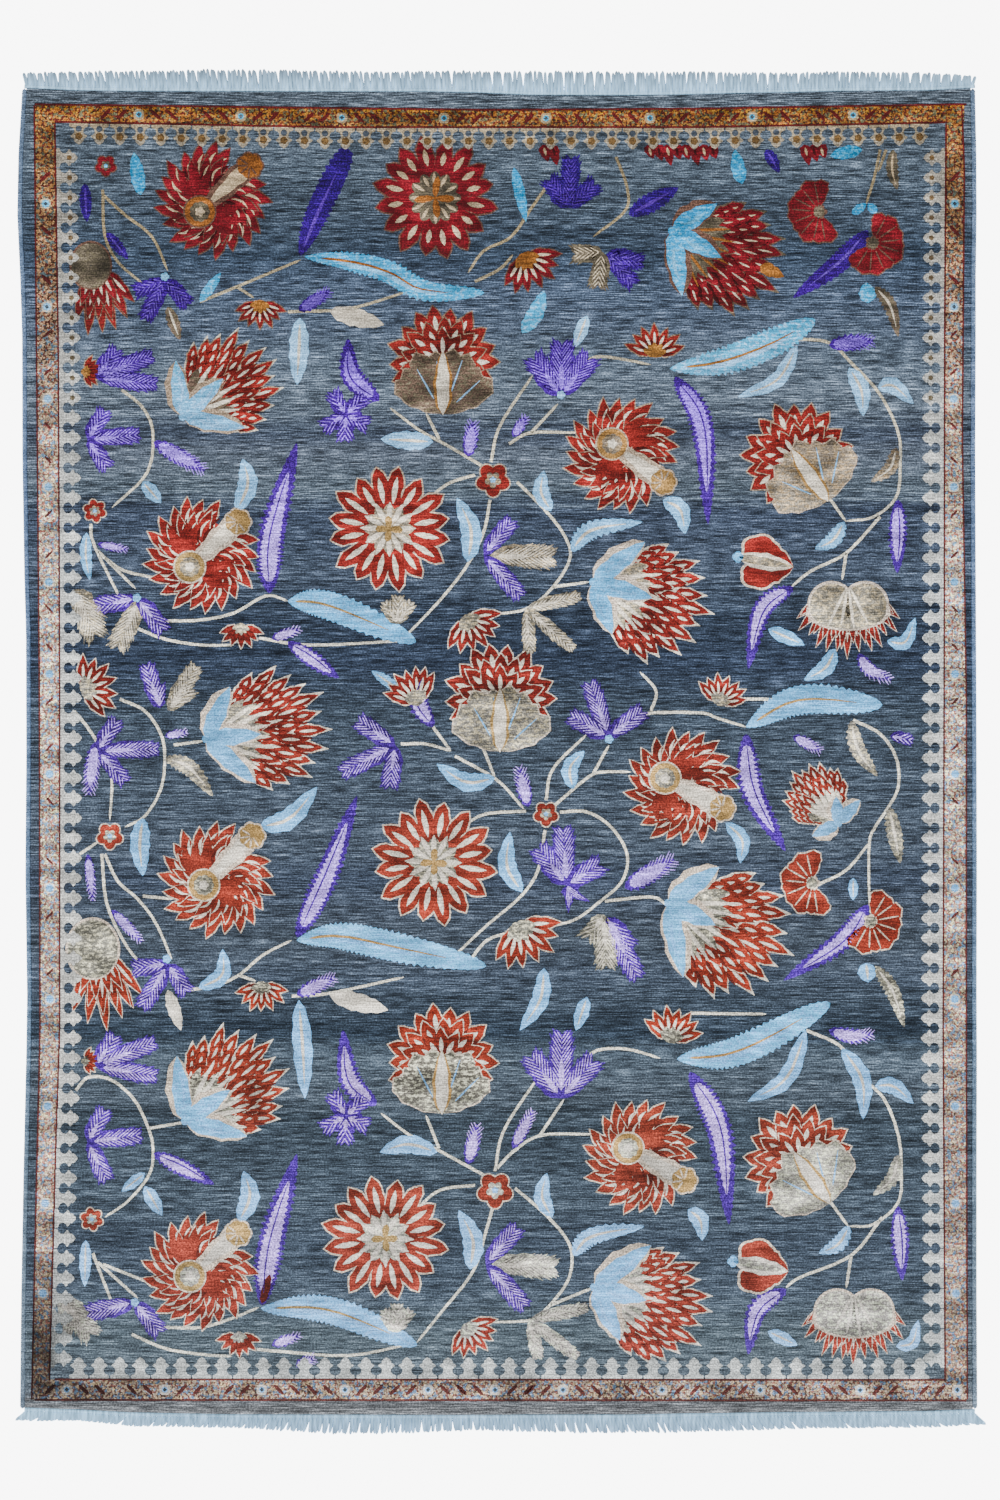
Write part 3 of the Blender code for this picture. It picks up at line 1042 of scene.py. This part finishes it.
# A trefoil's outline: distance from the inner line, half width
TREFOIL = ((0, 9.9), (3, 9.9), (4.4, 6.4), (6.4, 4.9), (9.2, 4.6), (11.2, 6.4), (12.6, 8.8),
           (14.2, 7.6), (15.6, 4.8), (17.2, 5.0), (19.2, 3.4), (21.2, 0.6))
SIDE_PITCH = 20.0
END_PITCH = 20.5


def line_at(table, place):
    """The border line's distance at this place along it."""
    rows = np.array(table, float)
    return np.interp(place, rows[:, 0], rows[:, 1])


def strip(group, one, two, along, level, ends):
    """The ground of a strip between two border lines; at the ends the chart's axes swap."""
    inner, outer = line_at(one, along), line_at(two, along)
    share = np.array([0.0, 0.02, 0.98, 1.0])
    across = inner[:, None] * (1 - share) + outer[:, None] * share
    place = np.broadcast_to(along[:, None], across.shape)
    grid = np.stack([place, across] if ends else [across, place], axis=2)
    raise_patch(group, grid, level, LEAF_RISE)


def border_line(table, along, width, ends):
    """A thin red line along a border table."""
    across = line_at(table, along)
    places = np.stack([along, across] if ends else [across, along], axis=1)
    blade("line", places, width, 10.5, (0.0, 0.0), rows=4 * len(along))


def trefoils(table, along, into, ends):
    """A row of trefoils on the line, each a strip of this profile, pointing into the field."""
    profile = np.array(TREFOIL)
    for place in along:
        foot = line_at(table, place) + into * 1.0
        way = profile[:, 0] * into + foot
        across = place + profile[:, 1:] * np.array([-1.0, -0.85, 0.85, 1.0])
        way = np.broadcast_to(way[:, None], across.shape)
        grid = np.stack([across, way] if ends else [way, across], axis=2)
        raise_patch("trefoil", grid, 9, LEAF_RISE)
        where = (place, foot + into * 13.0) if ends else (foot + into * 13.0, place)
        if where[1] < 400:
            disc("heart", where, 4.2 if ends else 2.8, 10.4, 5, 0.15)
        if where[1] < 150:
            disc("shade", (place, foot + 5.5), 3.4, 10)


rows_along = np.linspace(107, 1399, 60)
columns_along = np.linspace(36, 964, 44)
side_trefoils = np.arange(158, 1366, SIDE_PITCH)
end_trefoils = np.arange(79, 922, END_PITCH)
for outer, inner, into in ((LEFT_OUTER, LEFT_INNER, 1), (RIGHT_OUTER, RIGHT_INNER, -1)):
    strip("guard", outer, inner, rows_along, 9.4, False)
    border_line(outer, np.linspace(106, 1399, 40), 1.8, False)
    border_line(inner, np.linspace(124, 1380, 40), 1.8, False)
    trefoils(inner, side_trefoils, into, False)
for outer, inner, into in ((FAR_OUTER, FAR_INNER, 1), (NEAR_OUTER, NEAR_INNER, -1)):
    strip("guard", outer, inner, columns_along, 9.7, True)
    border_line(outer, np.linspace(35, 966, 30), 2.2, True)
    border_line(inner, np.linspace(55, 945, 30), 2.2, True)
    trefoils(inner, end_trefoils, into, True)

# Rosettes and slanting dashes in the guard strip, by their places along it
FAR_ROSETTES = (139, 241, 342, 444, 546, 650, 752, 853)
NEAR_ROSETTES = (67, 165, 262, 345, 428, 495, 563, 662, 760, 860, 957)
SIDE_ROSETTES = (204, 307, 399, 487, 582, 674, 774, 888, 999, 1106, 1203, 1293)
for ends, tables, rosettes in (
    (True, (FAR_OUTER, FAR_INNER), FAR_ROSETTES),
    (True, (NEAR_INNER, NEAR_OUTER), NEAR_ROSETTES),
    (False, (LEFT_OUTER, LEFT_INNER), SIDE_ROSETTES),
    (False, (RIGHT_INNER, RIGHT_OUTER), SIDE_ROSETTES),
):
    for n, place in enumerate(rosettes):
        for shift in (-33, -17, 0, 17, 33) if ends else (-27, 0, 27):
            where = place + shift
            mid = 0.5 * (line_at(tables[0], where) + line_at(tables[1], where))
            plain = not ends and where > 330
            if shift:
                if not 44 < where + 500 * (not ends) < 1480 or (ends and where > 955):
                    continue
                long = 3.6 if plain else 5.0
                lean = long if shift * (-1) ** n > 0 else -long
                one, two = (where - long, mid - lean), (where + long, mid + lean)
                dash = [one, two] if ends else [one[::-1], two[::-1]]
                blade("line", dash, 2.8 if plain else 4.2, 10.5, (0.4, 0.4))
                continue
            centre = (where, mid) if ends else (mid, where)
            disc("ivory", centre, 6.2, 10.5, 4, 0.12, turn=45)
            disc("mist", centre, 4.6 if plain or where < 330 and not ends else 3.4, 11, 8, 0.2)
            if not plain:
                disc("shade", centre, 2.2, 11.6, 4, 0.3)

# The silks
# Each dye's knots are woven into one piece, with the map for its bake seen from above. Silk is
# finer and glossier than wool. Where the pile was brushed the other way it looks darker, and
# that darkening is painted shade in the colour.
# The dyes fade down the rug, and are given as chart rows and colours.
BAKE_SPAN = (1.74, 2.44)
# Painted shade where the pile lies the other way: chart column and row, its reach across and along,
# strength
PAINTED_NAP_SHADE = (
    (502, 693, 30, 9, -0.45),
    (655, 1170, 17, 17, -0.45),
    (255, 1094, 12, 22, -0.4),
    (455, 400, 34, 13, -0.3),
    (42, 1350, 14, 50, -1.3),
    (72, 1318, 16, 18, -0.5),
    (95, 1390, 60, 13, -0.7),
    (516, 1390, 26, 10, -0.4),
    (611, 1390, 22, 10, -0.35),
    (266, 1290, 12, 20, -0.35),
    (702, 946, 22, 12, -0.25),
    (430, 1088, 26, 12, -0.2),
    (655, 562, 18, 12, -0.3),
    (105, 265, 22, 20, -0.2),
    (52, 505, 9, 14, -0.4),
    (410, 855, 24, 18, -0.15),
)
VINE_DYES = "110 #70634b, 250 #857759, 330 #a29981, 600 #dad6c5, 1000 #e0dccb, 1345 #d1d0c2"
OUTLINE_DYES = (
    "110 #4e362d, 290 #584035, 340 #7a6754, 470 #a6937f, 600 #cebfaf, 1000 #cebdaa, 1345 #c8baaa"
)
RED_DYES = (
    "110 #5a0b16, 290 #5c0e16, 335 #681b17, 450 #731e1a, 560 #7a211d, 690 #70221c, 850 #803024, "
    "1010 #852d1e, 1150 #7d3427, 1345 #84342b"
)
MAROON_DYES = "110 #2f0409, 290 #32070a, 340 #40100d, 600 #511814, 850 #5a211a, 1345 #602822"
IVORY_DYES = "110 #988362, 215 #a79478, 330 #beb6a6, 600 #e0d6c4, 1000 #dad3c5, 1345 #ccc6bd"
GOLD_DYES = (
    "110 #714219, 215 #77461b, 330 #7f5321, 430 #8b6535, 560 #a38551, 800 #a98852, 1060 #ac864d, "
    "1345 #a28a5b"
)
SHADE_DYES = "120 #39404a, 400 #3e474f"
HEART_DYES = "110 #5c4423, 215 #50412e, 400 #574e3d"
GREY_DYES = (
    "110 #443c31, 260 #4f483c, 390 #56453a, 480 #7f7669, 620 #7a766b, 740 #7b7871, 900 #747369, "
    "1080 #625f57, 1170 #98968e, 1345 #8e8b88"
)
GREY_LIGHTS = "110 #3d382b, 390 #575040, 480 #9e8869, 620 #b3a586, 1345 #c2c8b4"
PALE_DYES = (
    "110 #01719a, 215 #0186bf, 300 #2498cb, 345 #3c9cc5, 420 #66a7d4, 620 #5db8f4, 820 #6da7d4, "
    "1000 #67c0f6, 1340 #77bbf6"
)
MIST_DYES = "110 #299cc4, 260 #60a8d1, 340 #85b7df, 620 #70b7ee, 1000 #77bbf6, 1345 #86bbf1"
VIOLET_DYES = (
    "110 #1f0155, 215 #210156, 330 #31016d, 450 #3d167c, 620 #401c83, 720 #3a1e73, 860 #421d88, "
    "1080 #482392, 1345 #462a86"
)
LAVENDER_DYES = (
    "110 #3d197c, 215 #452186, 330 #6042a9, 400 #8f66f1, 620 #ba9ff6, 860 #b195f6, 1080 #bea2f6, "
    "1345 #baa0f6"
)
GUARD_DYES = (
    "105 #8c521c, 132 #865423, 240 #82623e, 330 #978067, 480 #b8a48f, 600 #d1bfaf, 760 #bdac9f, "
    "900 #a39488, 1200 #b4a294, 1400 #a39382"
)
GUARD_LIGHTS = "105 #9b6a0f, 132 #8e6c3a, 330 #ac8364, 600 #f6f6c4, 1400 #b29b79"
GUARD_DARKS = "105 #2b1a13, 128 #2c1d15, 330 #372c24, 480 #726053, 1365 #6b5b50, 1400 #3d3430"
GUARD_BLUES = "105 #54533a, 240 #495451, 600 #779ebf, 1400 #5c748e"
GUARD_REDS = "105 #4b1816, 330 #562a23, 500 #a06257, 1365 #8b5c51, 1400 #5d3a36"
LINE_DYES = "105 #4b1314, 300 #4c1b1b, 480 #542626, 600 #572c2b, 1200 #542726, 1400 #542d2a"
TREFOIL_DYES = "130 #857861, 160 #837d72, 400 #a6a7a3, 600 #bdc0be, 1000 #bebeb9, 1345 #b4b9b9"


def joined(patches):
    """The points and faces of all these patches as one set."""
    starts = np.cumsum([0] + [len(points) for points, _ in patches])
    quads = [quads + start for (_, quads), start in zip(patches, starts)]
    return np.concatenate([points for points, _ in patches]), np.concatenate(quads)


def faced_up(points, quads):
    """The faces, each turned so that the cross product of its diagonals points up."""
    one = points[quads[:, 2]] - points[quads[:, 0]]
    two = points[quads[:, 3]] - points[quads[:, 1]]
    under = one[:, 0] * two[:, 1] - one[:, 1] * two[:, 0] < 0
    return np.where(under[:, None], quads[:, ::-1], quads)


def painted_nap_shade_at(points):
    """How much painted shade darkens each point where the pile lies the other way: the sum of strength
    e^(-(x/a)^2 - (y/b)^2).
    """
    painted_nap_shade = np.zeros(len(points))
    for column, row, wide, high, strength in PAINTED_NAP_SHADE:
        x = (points[:, 0] / SQUARE + CHART_CENTRE[0] - column) / wide
        y = (CHART_CENTRE[1] - points[:, 1] / SQUARE - row) / high
        painted_nap_shade += strength * np.exp(-(x**2) - y**2)
    return painted_nap_shade


# Dyed silk, softly glossy: plain yarns show their rows and knots, and the yarns with flecks
# mix knots of several dyes, which gives the eye the small scrolls of the guard strip.
SILKS = {
    "vine": ("vine_silk", VINE_DYES, {"streak": 0.4, "knots": 0.7}),
    "outline": ("outline_silk", OUTLINE_DYES, {"streak": 0.4, "knots": 0.7}),
    "red": ("red_silk", RED_DYES, {"streak": 0.5, "patch": 0.6, "knots": 0.6}),
    "ivory": ("ivory_silk", IVORY_DYES, {"streak": 0.4, "patch": 0.4, "knots": 0.5}),
    "gold": ("gold_silk", GOLD_DYES, {"streak": 0.4, "patch": 0.5, "knots": 0.6}),
    "maroon": ("maroon_silk", MAROON_DYES, {"streak": 0.4, "knots": 0.6}),
    "shade": ("shade_wool", SHADE_DYES, {"streak": 0.6, "knots": 0.4}),
    "heart": ("heart_silk", HEART_DYES, {"streak": 0.3, "knots": 0.6}),
    "grey": ("grey_silk", GREY_DYES, {
        "streak": 0.4, "patch": 0.7, "knots": 0.6, "flecks": ((GREY_LIGHTS, 0.35, 3.6, 1.8, 21.0),)
    }),
    "pale": ("pale_silk", PALE_DYES, {
        "streak": 0.4, "knots": 0.4, "flecks": ((MIST_DYES, 0.2, 3, 2, 23.0),)
    }),
    "mist": ("mist_silk", MIST_DYES, {"streak": 0.4, "knots": 0.5}),
    "violet": ("violet_silk", VIOLET_DYES, {"streak": 0.7, "patch": 0.4, "knots": 0.9}),
    "lavender": ("lavender_silk", LAVENDER_DYES, {"streak": 0.5, "patch": 0.3, "knots": 0.7}),
    "guard": ("guard_silk", GUARD_DYES, {
        "streak": 0.3, "patch": 0.6, "knots": 0.7, "flecks": (
            (GUARD_LIGHTS, 0.36, 3.4, 3.0, 31.0),
            (GUARD_DARKS, 0.2, 2.2, 2.0, 33.0),
            (GUARD_BLUES, 0.22, 3.2, 3.0, 35.0),
            (GUARD_REDS, 0.16, 1.8, 2.0, 37.0),
        )
    }),
    "line": ("line_silk", LINE_DYES, {"streak": 0.3, "patch": 0.4, "knots": 0.6}),
    "trefoil": ("trefoil_silk", TREFOIL_DYES, {"streak": 0.4, "patch": 0.3, "knots": 0.6}),
}
for group, (name, dyes, look) in SILKS.items():
    points, quads = joined(stitches[group])
    quads = faced_up(points, quads)
    knots = weave(f"knots_{group}", points, quads, yarn(name, dyes, roughness=0.6, **look))
    plan = points[quads.ravel()][:, :2] / BAKE_SPAN + 0.5
    knots.data.uv_layers.new(name="OFBake").data.foreach_set("uv", plan.ravel())
    # Painted shade where the pile lies the other way, kept on each point for the yarn's colour
    painted_nap_shade = knots.data.attributes.new("painted_nap_shade", "FLOAT", "POINT")
    painted_nap_shade.data.foreach_set("value", painted_nap_shade_at(points))

# Side cords
# The last warps of each long side, wrapped close with blue wool yarn into a firm round cord,
# so that the edge wears well. The cord follows the rug's edge from end to end.
WRAP_PITCH = 0.0035
WRAP_DEPTH = 0.00035
CORD_HALF = (0.0048, 0.0034)
CORD_HIGH = 0.0036
CORD_ENDS = (-1.1715, 1.1825)
CORD_TAPER = 0.004
CORD_CORNERS = 10
CORD_DYES = (
    "88 #596b82, 300 #5e7390, 500 #586d8e, 700 #5c7495, 1000 #5e7792, 1200 #607385, 1410 #647383"
)


def tubes(centres, halves, sides):
    """Closed tubes along the centre lines, with these half widths and heights at each point.

    centres is (tubes, points, 3) and halves is (tubes, points, 2). The first and last rings
    draw together. The section is that of a rounded box: |cos|^0.8 and |sin|^0.8 with their signs.
    """
    run = np.gradient(centres, axis=1)
    across = np.stack([run[..., 1], -run[..., 0]], axis=2)
    across /= np.hypot(across[..., 0], across[..., 1])[..., None]
    angle = np.arange(sides) / sides * 2 * np.pi
    wide, high = (np.sign(f(angle)) * np.abs(f(angle)) ** 0.8 for f in (np.cos, np.sin))
    points = np.empty((*centres.shape[:2], sides, 3))
    points[..., :2] = centres[:, :, None, :2] + (
        across[:, :, None] * (halves[..., 0:1] * wide)[..., None]
    )
    points[..., 2] = centres[:, :, None, 2] + halves[..., 1:2] * high
    count, rings = centres.shape[:2]
    index = np.arange(count * rings * sides).reshape(count, rings, sides)
    after = np.roll(index, -1, axis=2)
    faces = np.stack([index[:, :-1], index[:, 1:], after[:, 1:], after[:, :-1]], axis=-1)
    return points.reshape(-1, 3), faces.reshape(-1, 4)


# Spun wool, matt, paler than the pile because its wrapped strands lie flat and show their sides
cord_wool = yarn("cord_wool", CORD_DYES, streak=0.4, patch=0.3, knots=0.5, roughness=0.9)
for side, name, node, column in (
    (-1, "cord_left", "selvedge_left", 1),
    (1, "cord_right", "selvedge_right", 2),
):
    at = np.arange(*CORD_ENDS, WRAP_PITCH / 3)
    swell = 1 - WRAP_DEPTH / CORD_HALF[0] * (1 - np.cos(at / WRAP_PITCH * 2 * np.pi))
    closing = np.clip(np.minimum(at - at[0], at[-1] - at) / CORD_TAPER, 0.02, 1.0) ** 0.5
    middle = edge_at(SIDES, at, column) - side * CORD_HALF[0]
    line = np.stack([middle, at, 0.0 * at + CORD_HIGH], axis=1)
    halves = np.array(CORD_HALF) * (swell * closing)[:, None]
    cord = weave(name, *tubes(line[None], halves[None], CORD_CORNERS), cord_wool, "selvedge_yarn")
    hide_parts(node)

# Fringes
# The cotton warps of each end: a narrow woven band that holds the last row, then the warps in
# knotted strands that end in small pointed tufts, a little uneven and leaning.
STRANDS = 280
# From root to tip: place along the strand, and half width and half height in millimetres
STRAND_RINGS = (0.0, 0.05, 0.12, 0.2, 0.55, 0.8, 0.92, 1.0)
STRAND_WIDTHS = (3.2, 3.4, 3.2, 3.5, 3.4, 3.2, 2.6, 0.7)
STRAND_HEIGHTS = (1.3, 1.45, 1.0, 1.3, 1.2, 1.0, 0.7, 0.3)
STRAND_SPAN = (-0.848, 0.845)
STRAND_CORNERS = 6
TIP_REACH = 0.8655
# How far the tips wander, in a wave and by chance
TUFT = 0.0016
TUFT_CHANCE = 0.0012
BAND = 0.006
BAND_SPAN = (-0.849, 0.846)
BAND_STATIONS = 566
BAND_HALF = (0.58 * BAND, 0.0015)
BAND_RIDGE = 0.003
BAND_CORNERS = 8
# The fringe tips, in millimetres: distance across, far end, near end
TIPS = (
    (-860.0, 1211.0, -1193.0),
    (-750.0, 1213.0, -1193.0),
    (-660.0, 1215.0, -1203.0),
    (-480.0, 1217.0, -1206.0),
    (-300.0, 1214.5, -1217.0),
    (-215.0, 1213.0, -1217.0),
    (-36.0, 1214.5, -1211.0),
    (140.0, 1213.0, -1215.5),
    (320.0, 1212.5, -1214.5),
    (500.0, 1211.0, -1209.0),
    (590.0, 1213.0, -1206.5),
    (765.0, 1211.0, -1205.0),
    (850.0, 1205.0, -1200.0),
)
FRINGE_DYES = "66 #74899b, 90 #a7d5f6, 1400 #a1d5f6, 1434 #88a9c8"
# Plies about 3 mm wide in coils 20 mm long, drawn half as coarse again so that they show
PLY_WIDE = 0.0045
PLY_LONG = 0.03


def strands(side, column, leans, seed):
    """All the strands of one end, from the band to the tip line, spread by the leans.

    At the share t of its length a strand has gone t^1.3 of the way across to its tip.
    """
    chance = np.random.default_rng(seed)
    left, right = STRAND_SPAN
    root = left + (np.arange(STRANDS) + 0.5) * (right - left) / STRANDS
    start = edge_at(ENDS, root, column) + side * BAND
    lean = np.linspace(*leans, STRANDS) / 1000.0
    tuft = TUFT * np.sin(np.arange(STRANDS) * 2.1) + chance.normal(0.0, TUFT_CHANCE, STRANDS)
    tip = np.clip(root + lean + tuft, -TIP_REACH, TIP_REACH)
    long = (edge_at(TIPS, tip, column) - start) * (1 + chance.uniform(-0.07, 0.04, STRANDS))
    t = np.array(STRAND_RINGS)
    x = root[:, None] + (tip - root)[:, None] * t**1.3
    y = start[:, None] + long[:, None] * t
    heights = np.array(STRAND_HEIGHTS) / 1000.0
    z = np.broadcast_to(heights + 0.0002, x.shape)
    halves = np.stack(np.broadcast_arrays(np.array(STRAND_WIDTHS) / 1000.0, heights), axis=-1)
    halves = halves * chance.uniform(0.92, 1.08, STRANDS)[:, None, None]
    return tubes(np.stack([x, y, z], axis=2), halves, STRAND_CORNERS)


def end_band(side, column):
    """The band beyond the last row of knots, with a cosine ridge for each warp."""
    across = np.linspace(*BAND_SPAN, BAND_STATIONS)
    ridge = 1 + 0.12 * np.cos(across / BAND_RIDGE * 2 * np.pi)
    middle = edge_at(ENDS, across, column) + side * BAND * 0.5
    line = np.stack([across, middle, 0.0 * across + 0.0016], axis=1)
    halves = np.stack([BAND_HALF[0] * np.ones_like(ridge), BAND_HALF[1] * ridge], axis=1)
    return tubes(line[None], halves[None], BAND_CORNERS)


# Undyed spun cotton: matt, near white, with painted shade in the grooves of its twist and painted
# light on its ridges
fringe_cotton = bpy.data.materials.new("fringe_cotton")
fringe_cotton.use_nodes = True
tree = fringe_cotton.node_tree
place = add_node(tree, "ShaderNodeTexCoord", {}).outputs["Object"]
painted_ply_shading = grain(tree, place, PLY_WIDE, PLY_LONG, 2.0, 0.25)
colour = brightened(tree, dyed(tree, place, FRINGE_DYES), ((painted_ply_shading, 0.4),))
shader = tree.nodes["Principled BSDF"]
tree.links.new(colour, shader.inputs["Base Color"])
shader.inputs["Roughness"].default_value = 0.9
for side, name, column, leans, seed in (
    (1, "fringe_far", 1, (-5.0, 2.0), 31),
    (-1, "fringe_near", 2, (-21.0, 28.0), 32),
):
    points, quads = joined([end_band(side, column), strands(side, column, leans, seed)])
    fringe = weave(f"{name}_strands", points, quads, fringe_cotton, "fringe_yarn")
    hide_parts(name)

# Floor, light and camera
# A pale floor under even light, seen from far above with a long lens.
FLOOR_SIZE = 6.0
FLOOR_TOP = -0.0002
VIEW_HEIGHT = 1500 * SQUARE
LENS = 200.0
SENSOR = 36.0
# The photo's frame is centred half a square to the left and one and a half up the chart
FRAME_CENTRE = (-0.5 * SQUARE, 1.5 * SQUARE)
# The floor glows, so that it stays near white in the photo's dull light
FLOOR_GLOW = 6.8
ROOM_LIGHT = 1.25
WINDOW_LIGHT = 1.75
WINDOW_SPREAD = 0.35
WINDOW_TILT = (0.55, -0.35, 0.0)

paint = bpy.data.materials.new("floor_paint")
paint.use_nodes = True
floor_look = paint.node_tree.nodes["Principled BSDF"].inputs
floor_look["Base Color"].default_value = tone("#f6f6f6")
floor_look["Roughness"].default_value = 1.0
floor_look["Specular IOR Level"].default_value = 0.0
floor_look["Emission Color"].default_value = (1.0, 1.0, 1.0, 1.0)
floor_look["Emission Strength"].default_value = FLOOR_GLOW
half = FLOOR_SIZE / 2
corners = [(x * half, y * half, FLOOR_TOP) for x, y in ((-1, -1), (1, -1), (1, 1), (-1, 1))]
floor_mesh = bpy.data.meshes.new("floor")
floor_mesh.from_pydata(corners, [], [(0, 1, 2, 3)])
floor_mesh.materials.append(paint)
floor = bpy.data.objects.new("floor", floor_mesh)
bpy.context.scene.collection.objects.link(floor)

world = bpy.data.worlds.new("room")
world.use_nodes = True
world.node_tree.nodes["Background"].inputs["Color"].default_value = (1.0, 1.0, 1.0, 1.0)
world.node_tree.nodes["Background"].inputs["Strength"].default_value = ROOM_LIGHT
bpy.context.scene.world = world

lamp = bpy.data.lights.new("window", "SUN")
lamp.energy = WINDOW_LIGHT
lamp.angle = WINDOW_SPREAD
window = bpy.data.objects.new("window", lamp)
window.rotation_euler = WINDOW_TILT
bpy.context.scene.collection.objects.link(window)

lens = bpy.data.cameras.new("overhead")
lens.lens = LENS
lens.sensor_width = SENSOR
overhead = bpy.data.objects.new("overhead", lens)
overhead.location = (*FRAME_CENTRE, VIEW_HEIGHT * LENS / SENSOR)
bpy.context.scene.collection.objects.link(overhead)
bpy.context.scene.camera = overhead
